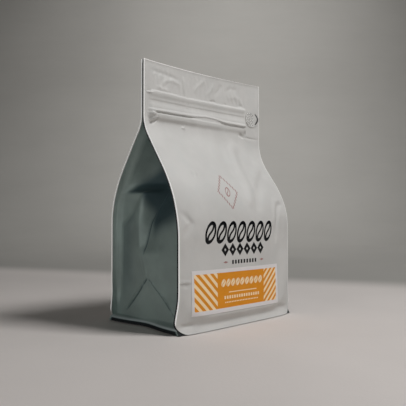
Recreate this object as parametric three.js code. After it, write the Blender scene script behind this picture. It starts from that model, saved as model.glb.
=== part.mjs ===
// A filled, sealed coffee bag that stands on its flat base: white front and back panels, dark side
// gussets that fold inwards under the top seal, a pocket zipper with a round pull tab, and a paper label.
// Millimetres, +Z up, the front facing -Y. The origin is on the floor under the middle of the bag.
import * as THREE from 'three';
import { mergeVertices } from 'three/addons/utils/BufferGeometryUtils.js';

// Driving dimensions
const WIDTH = 130; // flat width of a panel, seal edge to seal edge
const HEIGHT = 200;
const FIN = 6; // width of the four corner seals
const FILM = 0.6; // thickness that the films are modelled at
const GAP = 0.5; // clearance between neighbouring pieces, measured along Y

// Front and back panels. Depths are distances from the plane Y = 0 at a panel's side edges, and the
// front's left edge stands further forward than its right one by twice its twist. Each edge has a slope
// from the seal down to the full bag: where it starts, how long it is, and how gently it bends in and out.
const EARLY_SLOPE = { start: 158.5, easeIn: 16, easeOut: 56, length: 93.5 };
const LATE_SLOPE = { start: 150, easeIn: 28, easeOut: 38, length: 76 };
const BACK_SLOPE = { start: 159, easeIn: 14, easeOut: 42, length: 81 };
const FRONT = { side: -1, seal: 4.2, body: 39.7, bulge: 4.9, twist: 1.3, left: EARLY_SLOPE, right: LATE_SLOPE };
const BACK = { side: 1, seal: -1.5, body: 40.7, bulge: 5.35, twist: 0, left: BACK_SLOPE, right: BACK_SLOPE };
const BOW = 4; // how far the top seal's middle sits behind its ends
const BOW_FROM = 120; // height where that bow begins
const WAIST = 2.5; // how far the side edges draw in where the bag is full
const CORNER = 10; // radius of the panels' bottom corners
const FOOT = { height: 4.5, depth: 38.5, swell: 3.3, flare: 2 }; // seal strip along the bottom edge
const FULL_MIDDLE = 11; // height where the lower body reaches its full depth, in the middle
const FULL_EDGE = 34; // and at the side edges

// Foot of the side gussets, and the base
const SIDE_FOOT = [4.4, 6]; // how far the seal strip at a gusset's foot sticks out, at the front and back
const SIDE_FOOT_NOTCH = 4; // how much less it does at its middle
const SIDE_FOOT_LIFT = 2.2; // height of that strip above the floor
const BASE_FLAT = 46; // half width of the base that lies flat on the floor

// Creases of a side gusset. Each row is a height and four creases, each given by its place across
// (-1 at the front seal, 1 at the back seal) and by how far it lies inside the line of the seals.
// Above 54 the middle crease is the inward fold; below 36 the outer two spread to the base's corners.
const CREASES = [
  [0, [-0.92, 0], [0, 0], [0.75, 0], [0.95, 0]],
  [8, [-0.9, -0.2], [0, 0.2], [0.66, -0.2], [0.93, 0]],
  [16, [-0.74, -1.4], [0, -0.9], [0.47, -1.5], [0.91, 0]],
  [36, [-0.05, -2.6], [0.02, -2.4], [0.08, -2.7], [0.88, -0.2]],
  [45, [-0.3, -2.5], [0.06, -3.1], [0.16, -3], [0.86, -0.3]],
  [54, [-0.45, -2], [0.1, -3.2], [0.22, -3.2], [0.85, -0.3]],
  [61, [-0.5, -1.6], [0.1, 0.1], [0.27, -3.2], [0.86, -0.2]],
  [76, [-0.5, -0.6], [0.1, 5.8], [0.3, -2.8], [0.9, 0.3]],
  [83, [-0.5, 1.6], [0.1, 8.8], [0.32, -2.2], [0.72, 1]],
  [95, [-0.5, 8], [0.1, 14.7], [0.33, -0.6], [0.48, 1.8]],
  [101, [-0.5, 10.5], [0.1, 18.6], [0.34, 1.4], [0.4, 2.2]],
  [104, [-0.5, 12], [0.09, 21], [0.34, 9.5], [0.55, 4.6]],
  [110, [-0.5, 13.8], [0.07, 26], [0.38, 16.5], [0.65, 9.5]],
  [120, [-0.5, 16.4], [0.03, 32.5], [0.42, 19], [0.7, 10]],
  [130, [-0.5, 18], [0, 36], [0.45, 20], [0.72, 10]],
  [145, [-0.5, 18], [0, 36], [0.5, 18], [0.75, 9]],
  [157, [-0.5, 0], [0, 0], [0.5, 0], [0.75, 0]],
];

// Zipper, pull tab and label, placed on the front panel
const ZIP = { left: -58.5, right: 47, low: 153, high: 178 };
const ZIP_RIDGES = [ // height up the bag, how proud it stands, half width
  [176.6, 0.9, 1.1],
  [170.4, 0.45, 1.6],
  [163.4, 1.2, 1.7],
  [158.8, 1.1, 1.3],
  [155.4, 0.9, 1.8],
];
const ZIP_BASE = 0.45;
const TAB = { x: 56, z: 169.4, radius: 7.5, thickness: 0.6 };
const LABEL = { x: -5, z: 28, width: 95.4, height: 31.8, thickness: 0.4, turn: -0.006 };

const clamp01 = (t) => Math.min(Math.max(t, 0), 1);

const mix = (a, b, share) => a + (b - a) * share;

const smooth = (from, to, value) => {
  const t = clamp01((value - from) / (to - from));
  return t * t * (3 - 2 * t);
};

// Share of a panel's full depth that a slope has reached at a height: 0 at the seal, and 1 where the bag
// is full. It is a parabola, a straight stretch, and a parabola.
function slopeAt({ start, length, easeIn, easeOut }, z) {
  const down = start - z;
  const steepness = 1 / (length - (easeIn + easeOut) / 2);
  if (down <= 0) return 0;
  if (down < easeIn) return (steepness * down * down) / (2 * easeIn);
  if (down < length - easeOut) return steepness * (down - easeIn / 2);
  if (down < length) return 1 - (steepness * (length - down) ** 2) / (2 * easeOut);
  return 1;
}

// Half width of the bag at a height. The film has a fixed width, so it draws in where the bag is full.
function sideEdge(z) {
  const waist = WAIST * smooth(5, 26, z) * (1 - smooth(95, 155, z));
  return WIDTH / 2 - waist;
}

// Y of a panel's outer face at a point of the bag.
function panelFace(panel, x, z) {
  const along = Math.min(Math.max(x / sideEdge(z), -1), 1);
  const across = Math.abs(along);
  const open = mix(slopeAt(panel.left, z), slopeAt(panel.right, z), (along + 1) / 2);
  const lean = panel.twist * along;
  const swell = panel.bulge * (1 - across ** mix(6, 3, smooth(10, 60, z)));
  const body = mix(panel.seal, panel.body, open) + (swell - lean) * open;
  const foot = FOOT.depth + FOOT.swell * (1 - across ** 6) - lean + FOOT.flare * clamp01(1 - z / 7) ** 2;
  const depth = mix(foot, body, smooth(FOOT.height, mix(FULL_MIDDLE, FULL_EDGE, across ** 6), z));
  const bow = BOW * smooth(BOW_FROM, HEIGHT, z) * (1 - across * across);
  return panel.side * depth + bow;
}

// The creases at a height, from the front seal to the back seal, as [place across, inset].
function creasesAt(z) {
  const next = CREASES.findIndex((row) => row[0] > z);
  const upper = CREASES[next < 0 ? CREASES.length - 1 : next];
  const lower = CREASES[next < 0 ? CREASES.length - 1 : next - 1];
  const share = upper === lower ? 0 : (z - lower[0]) / (upper[0] - lower[0]);
  const inner = [1, 2, 3, 4].map((n) => [
    mix(lower[n][0], upper[n][0], share),
    mix(lower[n][1], upper[n][1], share),
  ]);
  return [[-1, 0], ...inner, [1, 0]];
}

// Values from one number to the next, with a number of equal steps for each stretch.
function stepped(start, ...stretches) {
  const values = [start];
  for (const [to, steps] of stretches) {
    const from = values[values.length - 1];
    for (let i = 1; i <= steps; i++) values.push(mix(from, to, i / steps));
  }
  return values;
}

const LEVELS = [
  0, 1.1, 2.2, 3.3, 4.5, 6, 7.5, 9, 11, 13.5, 16.5, 20, 26, 36, 45, 54, 61, 68, 76, 83, 89, 95, 101, 104, 110,
  115, 120, 125, 130, 135, 140, 145, 150, 154, 157, 160, 168, 178, 189, HEIGHT,
];

// Column positions of a panel at its bottom edge, as [x, height of the edge there], with arcs at the corners.
function panelColumns(middleSteps, arcSteps) {
  const straight = WIDTH / 2 - CORNER;
  const columns = [];
  const arc = (i) => {
    const angle = (Math.PI / 2) * (i / arcSteps);
    return [straight + CORNER * Math.sin(angle), CORNER * (1 - Math.cos(angle))];
  };
  for (let i = arcSteps; i > 0; i--) columns.push([-arc(i)[0], arc(i)[1]]);
  for (let i = 0; i <= middleSteps; i++) columns.push([straight * ((2 * i) / middleSteps - 1), 0]);
  for (let i = 1; i <= arcSteps; i++) columns.push(arc(i));
  return columns;
}

// A closed block whose grid points are moved to where a function of their grid indices puts them.
function shapedBlock(nx, ny, nz, place) {
  const block = new THREE.BoxGeometry(nx, ny, nz, nx, ny, nz);
  block.deleteAttribute('normal');
  block.deleteAttribute('uv');
  const points = block.getAttribute('position');
  for (let i = 0; i < points.count; i++) {
    const cell = [
      Math.round(points.getX(i) + nx / 2),
      Math.round(points.getY(i) + ny / 2),
      Math.round(points.getZ(i) + nz / 2),
    ];
    points.setXYZ(i, ...place(...cell));
  }
  const closed = mergeVertices(block, 1e-4);
  closed.computeVertexNormals();
  return closed;
}

// A sheet of film that follows a panel's face, with its seal strips and rounded bottom corners.
function panelGeometry(panel) {
  const columns = panelColumns(14, 3);
  return shapedBlock(columns.length - 1, 1, LEVELS.length - 1, (i, layer, k) => {
    const [flatX, edge] = columns[i];
    const z = edge + (HEIGHT - edge) * (LEVELS[k] / HEIGHT);
    const x = (flatX / (WIDTH / 2)) * sideEdge(z);
    const outer = panelFace(panel, x, z);
    const isOuter = panel.side < 0 ? layer === 0 : layer === 1;
    return [x, isOuter ? outer : outer - panel.side * FILM, z];
  });
}

// The filled bag between the panels. Its sides are the creased gussets, with a thin fin of the same
// film along each panel, and its underside is the base.
function gussetedBodyGeometry() {
  const halves = 6;
  const between = 2; // steps from one crease to the next
  const films = 2; // layers of each fin
  const stretches = 5 * between;
  const top = HEIGHT - 1;
  return shapedBlock(halves * 2, stretches + 2 * films, LEVELS.length - 1, (i, j, k) => {
    const level = Math.min(LEVELS[k], top);
    const creases = creasesAt(level);
    const step = Math.min(Math.max(j - films, 0), stretches);
    const crease = Math.min(Math.floor(step / between), creases.length - 2);
    const share = step / between - crease;
    const across = mix(creases[crease][0], creases[crease + 1][0], share);
    const inset = mix(creases[crease][1], creases[crease + 1][1], share);

    const edge = sideEdge(level);
    const strip = (mix(...SIDE_FOOT, (across + 1) / 2) - SIDE_FOOT_NOTCH * Math.exp(-((across / 0.45) ** 2)))
      * (1 - smooth(SIDE_FOOT_LIFT, SIDE_FOOT_LIFT + 2, level));
    const inFin = j < films || j > stretches + films;
    const corner = Math.max(1 - level / CORNER, 0);
    const finReach = edge - 0.5 - CORNER * (1 - Math.sqrt(1 - corner * corner));
    const wall = Math.min(edge - FIN - inset + strip, edge);
    const reach = inFin ? Math.max(finReach, wall) : wall;
    const x = (i / halves - 1) * reach;
    const rise = SIDE_FOOT_LIFT * smooth(BASE_FLAT, WIDTH / 2 - FIN, Math.abs(x));
    const z = level + rise * clamp01(1 - level / 8);

    const front = panelFace(FRONT, x, z) + FILM + GAP;
    const back = panelFace(BACK, x, z) - FILM - GAP;
    const fin = Math.min(FILM, (back - front) * 0.25);
    if (j === 0) return [x, front, z];
    if (j === stretches + 2 * films) return [x, back, z];
    const nudge = fin * 0.2;
    if (j === 1) return [x, front + fin - nudge, z];
    if (j === stretches + 2 * films - 1) return [x, back - fin + nudge, z];
    return [x, mix(front + fin, back - fin, (across + 1) / 2), z];
  });
}

// How proud the zipper's profile stands of the panel at a height.
function zipRelief(z) {
  const ridge = ([height, proud, halfWidth]) => proud * Math.exp(-(((z - height) / halfWidth) ** 2));
  return ZIP_BASE + ZIP_RIDGES.reduce((sum, values) => sum + ridge(values), 0);
}

function zipperGeometry() {
  const columns = 8;
  const rows = 22;
  return shapedBlock(columns, 1, rows, (i, layer, k) => {
    const x = ZIP.left + ((ZIP.right - ZIP.left) * i) / columns;
    const z = ZIP.low + ((ZIP.high - ZIP.low) * k) / rows;
    const ends = i === 0 || i === columns ? 0.35 : 1;
    const back = panelFace(FRONT, x, z) - GAP;
    return [x, layer === 0 ? back - ZIP_BASE - (zipRelief(z) - ZIP_BASE) * ends : back, z];
  });
}

function pullTabGeometry() {
  const disc = new THREE.CylinderGeometry(TAB.radius, TAB.radius, TAB.thickness, 28);
  disc.deleteAttribute('normal');
  disc.deleteAttribute('uv');
  const points = disc.getAttribute('position');
  for (let i = 0; i < points.count; i++) {
    const x = TAB.x + points.getX(i);
    const z = TAB.z - points.getZ(i);
    const lift = 0.9 * smooth(0, TAB.radius, points.getX(i));
    const face = panelFace(FRONT, x, z) - GAP - lift;
    points.setXYZ(i, x, points.getY(i) > 0 ? face : face - TAB.thickness, z);
  }
  const closed = mergeVertices(disc, 1e-4);
  closed.index.array.reverse();
  closed.computeVertexNormals();
  return closed;
}

function labelGeometry() {
  const columns = 12;
  const heights = stepped(0, [6, 2], [LABEL.height, 4]);
  return shapedBlock(columns, 1, heights.length - 1, (i, layer, k) => {
    const across = LABEL.width * (i / columns - 0.5);
    const up = heights[k] - LABEL.height / 2;
    const x = LABEL.x + across * Math.cos(LABEL.turn) - up * Math.sin(LABEL.turn);
    const z = LABEL.z + across * Math.sin(LABEL.turn) + up * Math.cos(LABEL.turn);
    const back = panelFace(FRONT, x, z) - GAP;
    return [x, layer === 0 ? back - LABEL.thickness : back, z];
  });
}

const whiteFilm = new THREE.MeshStandardMaterial({ color: 0xd2d1cd, roughness: 0.5, metalness: 0 });
const darkFilm = new THREE.MeshStandardMaterial({ color: 0x49524f, roughness: 0.42, metalness: 0.25 });
const zipFilm = new THREE.MeshStandardMaterial({ color: 0xcfcdc8, roughness: 0.42, metalness: 0 });
const tabFilm = new THREE.MeshStandardMaterial({ color: 0xcac8c3, roughness: 0.45, metalness: 0 });
const labelPaper = new THREE.MeshStandardMaterial({ color: 0xd08a2c, roughness: 0.6, metalness: 0 });

function piece(name, geometry, material) {
  const mesh = new THREE.Mesh(geometry, material);
  mesh.name = name;
  return mesh;
}

const bag = new THREE.Group();
bag.add(
  piece('gusseted_body', gussetedBodyGeometry(), darkFilm),
  piece('front_panel', panelGeometry(FRONT), whiteFilm),
  piece('back_panel', panelGeometry(BACK), whiteFilm),
  piece('zipper_strip', zipperGeometry(), zipFilm),
  piece('pull_tab', pullTabGeometry(), tabFilm),
  piece('label', labelGeometry(), labelPaper),
);

export default bag;
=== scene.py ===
"""Visible film, print, label, tear tab and photo studio of a filled flat-bottom coffee bag.

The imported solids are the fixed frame. Shapes are worked out in millimetres, Z up, with the bag's front
facing -Y and the origin on the floor under its middle, and are put into the meshes in metres.
"""

import math
from types import SimpleNamespace as Sizes

import bpy
import numpy as np
from bpy.props import FloatProperty, FloatVectorProperty, IntProperty, PointerProperty
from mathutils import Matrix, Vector


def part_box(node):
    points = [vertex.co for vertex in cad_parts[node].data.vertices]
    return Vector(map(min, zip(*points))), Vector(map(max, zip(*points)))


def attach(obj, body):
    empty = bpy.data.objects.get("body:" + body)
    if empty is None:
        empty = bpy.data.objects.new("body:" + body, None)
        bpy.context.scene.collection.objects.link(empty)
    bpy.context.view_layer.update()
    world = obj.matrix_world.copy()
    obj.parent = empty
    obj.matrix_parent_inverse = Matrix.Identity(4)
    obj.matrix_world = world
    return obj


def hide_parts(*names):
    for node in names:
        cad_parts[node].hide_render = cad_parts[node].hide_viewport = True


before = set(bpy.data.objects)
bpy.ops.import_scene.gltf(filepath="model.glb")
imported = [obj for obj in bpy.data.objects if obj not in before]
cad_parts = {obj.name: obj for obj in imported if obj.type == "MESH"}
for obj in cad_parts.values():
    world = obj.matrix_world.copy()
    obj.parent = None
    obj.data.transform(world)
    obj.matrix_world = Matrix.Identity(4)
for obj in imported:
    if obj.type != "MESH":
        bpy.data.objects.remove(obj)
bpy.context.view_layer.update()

bl_info = {
    "name": "Coffee bag",
    "version": (1, 0, 0),
    "blender": (4, 5, 0),
    "location": "View3D > Sidebar > Coffee bag",
    "description": "Makes the film, print, label and tear tab of a filled flat-bottom coffee bag",
    "category": "Object",
}

MM = 0.001  # metres in a millimetre
BODY = "root"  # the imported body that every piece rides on


def node_box(node):
    """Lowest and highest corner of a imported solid, in millimetres."""
    low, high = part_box(node)
    return np.array(low) / MM, np.array(high) / MM


# Driving dimensions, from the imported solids
PANEL_LOW, PANEL_HIGH = node_box("front_panel")
WIDTH = PANEL_HIGH[0] - PANEL_LOW[0]
HEIGHT = PANEL_HIGH[2]
ZIP_LOW, ZIP_HIGH = node_box("zipper_strip")
TAB_LOW, TAB_HIGH = node_box("pull_tab")
LABEL_LOW, LABEL_HIGH = node_box("label")

# Thicknesses and clearances
FILM = 0.35  # thickness that the white films are modelled at
DARK_FILM = 0.45  # and the fins of the dark film
CLEAR = 0.04  # between two films that are sealed together
FIN = 6.0  # width of the four corner seals
FIN_PAST = (0.8, -1.1)  # how far the dark film's cut edge shows past the white one, at front and back
FIN_ROOT = 2.2  # how much thicker the back fins are where they leave the wall
FIN_ROOT_SPAN = (8, 20, 140, 157)  # heights where that starts, is whole, starts to end and has ended
FILLET = (1.8, 2.2)  # depth and width of the wall's round corner beside the seals
FIN_COLUMNS = 4  # columns of points across a fin
HALF_DEPTH = 39.5  # half the bag's depth at the seals, for distances across a gusset
RIM = (0.42, 0.9)  # how proud the white films' cut edges stand, and over what width
FILM_LIFT = 0.5  # height of the white films' bottom edges, under which the dark film shows
SINK = 1.8  # how far the filled pouch keeps from the films where they hide it, so that dents have room
SINK_FADE = (0.86, 0.955)  # shares of the half width between which it comes up to the films
SPREAD = np.array([0, 0.25, 0.5, 0.68, 0.76, 0.84, 0.9, 0.94, 0.97, 1])  # its columns, from middle to side

# Form of both panels
BOW = 4.0  # how far the top seal's middle sits behind its ends
BOW_FROM = 120.0
WAIST = 2.5  # how far the side edges draw in where the bag is full
WAIST_SPAN = (5, 26, 95, 155)  # heights where that starts, is whole, starts to end and has ended
CORNER = 10.0  # radius of the panels' bottom corners
FOOT = Sizes(height=4.5, depth=38.5, swell=3.3, flare=2.8, flare_height=7.0)
FULL_MIDDLE = 11.0  # height where a panel is full again above its foot, in the middle
FULL_EDGE = 34.0  # and at its side edges

# Foot of the side gussets, and the base
SIDE_FOOT = (4.4, 6.0)  # how far the foot strip stands out of the wall, at the front and back
SIDE_FOOT_NOTCH = 4.0  # how much less it does in the middle
SIDE_FOOT_LIFT = 0.5  # how far its outer edge is off the floor
SIDE_FOOT_FILM = 3.2  # height of its outer face
SIDE_FOOT_ROOT = (7.4, 5.6)  # height where it meets the wall, at the front and back
BASE_FLAT = 55.5  # half width of the base's flat part

# Creases of a side gusset: height, then four creases as (place across, inset). -1 is the front seal and
# 1 the back seal. Above 54 the second crease is the inward fold; below 36 the first and third spread to
# the base's corners as an upturned V.
CREASES = np.array([
    [0, -0.92, 0, 0, 0, 0.75, 0, 0.95, 0],
    [8, -0.9, -0.2, 0, 0.2, 0.66, -0.2, 0.93, 0],
    [16, -0.74, -1.4, 0, -0.9, 0.47, -1.5, 0.91, 0],
    [36, -0.05, -2.6, 0.02, -2.4, 0.08, -2.7, 0.88, -0.2],
    [45, -0.3, -2.5, 0.06, -3.1, 0.16, -3, 0.86, -0.3],
    [54, -0.45, -2, 0.1, -3.2, 0.22, -3.2, 0.85, -0.3],
    [61, -0.5, -1.6, 0.1, 0.1, 0.27, -3.2, 0.86, -0.2],
    [76, -0.5, -0.6, 0.1, 5.8, 0.27, -2.8, 0.9, 0.3],
    [83, -0.5, 3, 0.1, 10.5, 0.27, -2.4, 0.7, 1.6],
    [95, -0.5, 11, 0.06, 18, 0.24, -0.8, 0.5, 2.6],
    [100.5, -0.5, 14, 0.05, 22.5, 0.22, 1.2, 0.42, 2],
    [103.5, -0.5, 16, 0.05, 25, 0.26, 13, 0.55, 8],
    [110, -0.5, 17, 0.05, 29, 0.34, 22, 0.65, 14],
    [120, -0.5, 18, 0.03, 33.5, 0.42, 22, 0.7, 13.5],
    [130, -0.5, 18, 0, 36, 0.45, 20, 0.72, 10],
    [145, -0.5, 18, 0, 36, 0.5, 18, 0.75, 9],
    [157, -0.5, 0, 0, 0, 0.5, 0, 0.75, 0],
])

# Sharp lines of the gusset. A span is the heights where one starts, is whole, starts to end and has ended.
# Dark is how much painted shade darkens the film along a line.
FOLD_LINE = Sizes(span=(52, 58, 96, 106), width=0.8, depth=0.9, dark=0.75)
RIDGE_LINE = Sizes(span=(34, 38, 50, 55), width=0.7, depth=-0.35)
LEG_LINE = Sizes(span=(7, 14, 34.5, 36.5), width=0.75, depth=1.0, dark=0.72)
LEG_RIM = Sizes(at=1.7, width=0.9, depth=-0.7)  # the raised film outside each leg
FRONT_LEG = [(8.0, -0.92), (36.5, 0.0)]  # the upturned V's legs, as (height, place across)
BACK_LEG = [(8.0, 0.68), (36.5, 0.0)]

# Painted shade in the gusset's folds
FOLD_PAINTED_SHADE = 0.8  # how much painted shade darkens the film where the gusset folds in
STRIP_PAINTED_SHADE = 0.36  # and how much painted shade darkens it beside the strip along the back seal
POCKET_SIDE = [(26, -0.52), (146, 0.83)]  # the edge of the pocket's painted shade, as (height, place across)
POCKET_FOOT = [(-0.8, 82), (0, 71)]  # its lower end, as (place across, height)
POCKET_TOP = [(0.2, 130), (0.85, 109)]
STRIP_TOP = [(0.25, 98), (0.8, 78.5)]
STRIP_SPAN = (0.3, 0.72, 0.83, 0.88)  # the strip of painted shade, in places across

# Zipper under the front film. Each soft step runs along the bag and lifts all that is below it:
# how far, half its width, its route as (x, z), and its strength along the bag as (x, share).
ZIP_STEPS = [
    (1.3, 0.5, [(-60, 177.7), (-40, 177.9), (-20, 177.2), (0, 177.5), (20, 177.1), (48, 177.3)],
     [(-24, 1), (-19.5, 0.8), (-15, 1)]),
    (-0.85, 1.3, [(-60, 174.2), (48, 174.0)], [(0, 1)]),
    (-0.4, 0.4, [(-60, 170.9), (48, 170.4)], [(0, 1)]),
    (1.0, 1.8, [(-60, 167.6), (48, 166.8)], [(0, 1)]),
    (1.4, 0.5, [(-58, 163.7), (-17, 164.3), (0, 165.3), (10, 164.7), (21, 163.4), (48, 162.9)],
     [(-20, 1), (-10, 0.55), (14, 0.6), (24, 1.2)]),
    (-1.7, 0.3, [(-58, 161.9), (-17, 162.2), (0, 163.9), (10, 163.5), (21, 161.4), (48, 160.9)],
     [(-56, 0), (-53, 1), (-21, 1), (-12, 0.35), (14, 0.35), (22, 1), (45, 1), (47, 0.3)]),
    (1.9, 0.4, [(-58, 160.8), (-17, 161), (48, 159.9)], [(-22, 1), (-8, 0.4), (20, 0.25)]),
]
ZIP_FOOT = (156.1, 1.7)  # height and half width of the step at its lower side
ZIP_END = 2.2  # length over which its ends fade out

# Folds of the front film: height, half width, and the bent line that each follows as (x, z)
FRONT_FOLDS = [
    (0.55, 1.1, [(-23, 195), (-22.6, 186), (-21.6, 177)]),
    (-0.35, 1.3, [(-59, 193), (-43, 192.4), (-27, 190.6)]),
    (0.3, 1.4, [(-49, 180), (-43, 187), (-35, 188.6), (-27.5, 187), (-26, 180)]),
    (0.35, 1.6, [(-52, 181.5), (-46, 180.2), (-38, 180)]),
    (0.3, 1.6, [(-13, 182), (-6, 190), (2, 196)]),
    (0.25, 1.5, [(2, 182), (8, 188), (12, 195)]),
    (-0.3, 1.5, [(12, 184), (18, 190), (21, 196)]),
    (-0.25, 1.5, [(24, 189), (32, 193), (40, 193)]),
    (0.3, 2.2, [(26, 184), (36, 186.5), (45, 183)]),
    (-0.5, 1.0, [(6.5, 178.6), (10, 179.2), (13, 178.8)]),
    (-0.35, 1.0, [(23, 178.4), (26, 178.7)]),
    (-0.4, 1.1, [(40, 179), (45, 180)]),
    (-0.9, 0.8, [(-61, 176.7), (-57, 177.4)]),
    (0.5, 0.7, [(-62, 175.6), (-57.5, 176.2)]),
    (0.45, 0.9, [(-27.5, 152.2), (-25, 152.1)]),
    (-0.5, 0.8, [(-61, 151), (-56, 153.4), (-50.5, 157.2)]),
    (0.8, 1.1, [(-60, 154), (-55.5, 156.4)]),
    (-0.5, 0.8, [(-60, 156.5), (-54, 159)]),
    (-1.0, 1.3, [(39.5, 154.2), (45.5, 151.6)]),
    (0.35, 2.2, [(-26, 152.6), (-23.5, 152.4)]),
    (-0.35, 0.9, [(46, 151.8), (54, 151.4), (65, 151.2)]),
    (-0.7, 1.1, [(-38.2, 115.2), (-36.6, 112.6)]),
    (0.4, 1.3, [(-36, 116), (-34.6, 113.2)]),
    (0.9, 5.0, [(33, 147), (27, 139), (22, 124), (17, 104), (13, 88)]),
    (-0.8, 4.5, [(56, 121), (44, 113), (33, 106), (25, 96), (21, 86)]),
    (0.8, 4.5, [(58, 129), (46, 121), (34, 114), (26, 105)]),
    (-0.45, 5.0, [(12, 146), (10, 128), (6, 112)]),
    (-0.9, 2.2, [(59, 91.5), (53, 92), (49, 89), (46, 82), (42.5, 72), (41, 60)]),
    (0.5, 2.6, [(60.5, 95), (54, 96.5), (47, 94.5), (42, 86), (39, 74)]),
    (-0.8, 2.0, [(-60, 86), (-55, 82), (-51.5, 77.5), (-55, 72), (-60, 67)]),
    (-0.5, 6.0, [(54, 84), (53, 66), (54, 48)]),
    (0.55, 0.5, [(-64, 36.9), (-58, 36.8), (-52, 36.6)]),
    (-0.45, 1.2, [(-60, 34.6), (-54, 34)]),
    (-0.7, 1.4, [(-62, 5.6), (-55, 6), (-48, 6.4)]),
    (-0.45, 2.0, [(40, 9.4), (50, 7.6), (60, 5.6)]),
]

# Folds of the back film, in the same form
BACK_FOLDS = [
    (0.8, 5.0, [(-30, 146), (-22, 128), (-12, 108), (-8, 92)]),
    (-0.7, 4.5, [(-52, 120), (-40, 112), (-28, 104), (-20, 92)]),
    (0.7, 5.0, [(40, 148), (34, 130), (24, 112)]),
    (-0.6, 5.0, [(56, 118), (44, 106), (36, 92)]),
    (-0.8, 2.4, [(-60, 90), (-53, 91), (-48, 84), (-44, 70)]),
    (-0.7, 2.4, [(60, 86), (53, 84), (50, 76), (53, 68)]),
    (0.5, 0.6, [(-64, 37.5), (-50, 37), (-40, 37.2)]),
    (0.45, 0.6, [(64, 36.8), (52, 36.6)]),
    (0.35, 1.4, [(-50, 196), (-46, 184), (-44, 168)]),
    (-0.3, 1.4, [(10, 196), (14, 184), (12, 170)]),
    (0.35, 1.6, [(36, 192), (40, 180), (38, 166)]),
    (-0.9, 1.2, [(-62, 151), (-50, 156)]),
    (-0.9, 1.2, [(62, 151), (50, 156)]),
]
FOLD_STRENGTH = 1.5  # how much higher all folds stand than their tables say

# Slow unevenness of the film: wavelengths in millimetres and heights
WAVES = [(70, 0.35), (46, 0.22), (27, 0.1), (14, 0.045), (8, 0.02)]

# Front and back panels, as depths from the plane Y = 0. Each side edge has a slope from the top seal down
# to the full bag. The seed is for the unevenness.
EARLY_SLOPE = Sizes(start=158.5, length=93.5, ease_in=16.0, ease_out=56.0)
LATE_SLOPE = Sizes(start=150.0, length=76.0, ease_in=28.0, ease_out=38.0)
BACK_SLOPE = Sizes(start=159.0, length=81.0, ease_in=14.0, ease_out=42.0)
FRONT = Sizes(
    side=-1, seal=4.2, body=39.7, bulge=4.9, twist=1.3, left=EARLY_SLOPE, right=LATE_SLOPE,
    folds=FRONT_FOLDS, seed=7,
)
BACK = Sizes(
    side=1, seal=-1.5, body=40.7, bulge=5.35, twist=0.0, left=BACK_SLOPE, right=BACK_SLOPE,
    folds=BACK_FOLDS, seed=8,
)

# Label and tab: their thickness and clearance to the front film, and the label's turn in radians. The tab's
# outer edge lifts from a distance off its middle, its knurl stands proud and its crescent is pressed in.
LABEL = Sizes(width=95.4, height=31.8, turn=-0.006, film=0.16, clear=0.1)
TAB = Sizes(film=0.4, clear=0.12, lift=1.5, lift_from=2.5, knurl=0.4, crescent=0.25)


def colour_setting(name, description, default):
    """A colour that a user can change."""
    return FloatVectorProperty(name=name, description=description, default=default, subtype="COLOR")


def power_setting(name, description, default):
    """A lamp's power that a user can change."""
    return FloatProperty(name=name, description=description, default=default, unit="POWER")


class BagForm(bpy.types.PropertyGroup):
    """Sizes of the visible film that a user would change."""

    wrinkles: FloatProperty(
        name="Wrinkles", description="How strongly the films' folds and unevenness show", default=1.0,
        min=0.0, max=2.0, subtype="FACTOR",
    )
    crinkle: FloatProperty(
        name="Fine crinkle", description="Height of the laminate's fine crinkle", default=0.00009,
        min=0.0, max=0.001, precision=6, unit="LENGTH",
    )
    panel_columns: IntProperty(
        name="Panel columns", description="Grid columns across the front panel's flat part", default=150,
        min=20,
    )


class BagColours(bpy.types.PropertyGroup):
    """Colours of the films, the prints and the label."""

    white_film: colour_setting("White film", "Front and back panels", (0.61, 0.598, 0.577))
    dark_film: colour_setting("Dark film", "Side gussets and base", (0.245, 0.309, 0.29))
    ink: colour_setting("Ink", "Dark print on the front", (0.003, 0.0035, 0.005))
    rose_ink: colour_setting("Rose ink", "Second print colour on the front", (0.33, 0.13, 0.12))
    label_field: colour_setting("Label field", "Orange field of the label", (0.78, 0.285, 0.007))
    label_cream: colour_setting("Label cream", "Stripes and print of the label", (1.0, 0.77, 0.49))
    label_border: colour_setting("Label border", "Bare paper round the label's print", (0.79, 0.755, 0.755))


class BagStage(bpy.types.PropertyGroup):
    """Floor, backdrop, lights and camera."""

    floor_colour: colour_setting("Floor", "Pale floor under the bag", (0.745, 0.69, 0.66))
    backdrop_colour: colour_setting("Backdrop", "Grey sweep behind the bag", (0.4, 0.385, 0.36))
    room_colour: colour_setting("Room light", "Colour of the light from all round", (0.04, 0.044, 0.042))
    key_power: power_setting("Key light", "Power of the main softbox", 6.5)
    wash_power: power_setting("Backdrop light", "Power of the light on the backdrop", 5.15)
    fill_power: power_setting("Fill light", "Power of the soft fill", 1.3)
    side_power: power_setting("Side light", "Power of the low light behind the left gusset", 1.05)
    lens: FloatProperty(name="Lens", description="Camera's focal length in millimetres", default=47.53)


def mix(a, b, share):
    """a, moved towards b by a share of the way."""
    return a + (b - a) * share


def smooth(start, end, value):
    """0 before start and 1 after end, by three times the share squared less twice its cube between."""
    share = np.clip((value - start) / (end - start), 0, 1)
    return share * share * (3 - 2 * share)


def fade(start, end, value):
    """1 before start and 0 after end: one less the smooth rise."""
    return 1 - smooth(start, end, value)


def window(value, span):
    """0 up to a span's first value, 1 between its middle two, and 0 past its last: a rise times a fade."""
    return smooth(span[0], span[1], value) * fade(span[2], span[3], value)


def bell(distance, width):
    """1 at distance 0, falling as e to the power of minus the squared distance in widths."""
    return np.exp(-((distance / width) ** 2))


def along_line(line, x):
    """Straight-line reading at x of a short table of (x, value)."""
    places, values = zip(*line)
    return np.interp(x, places, values)


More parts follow.
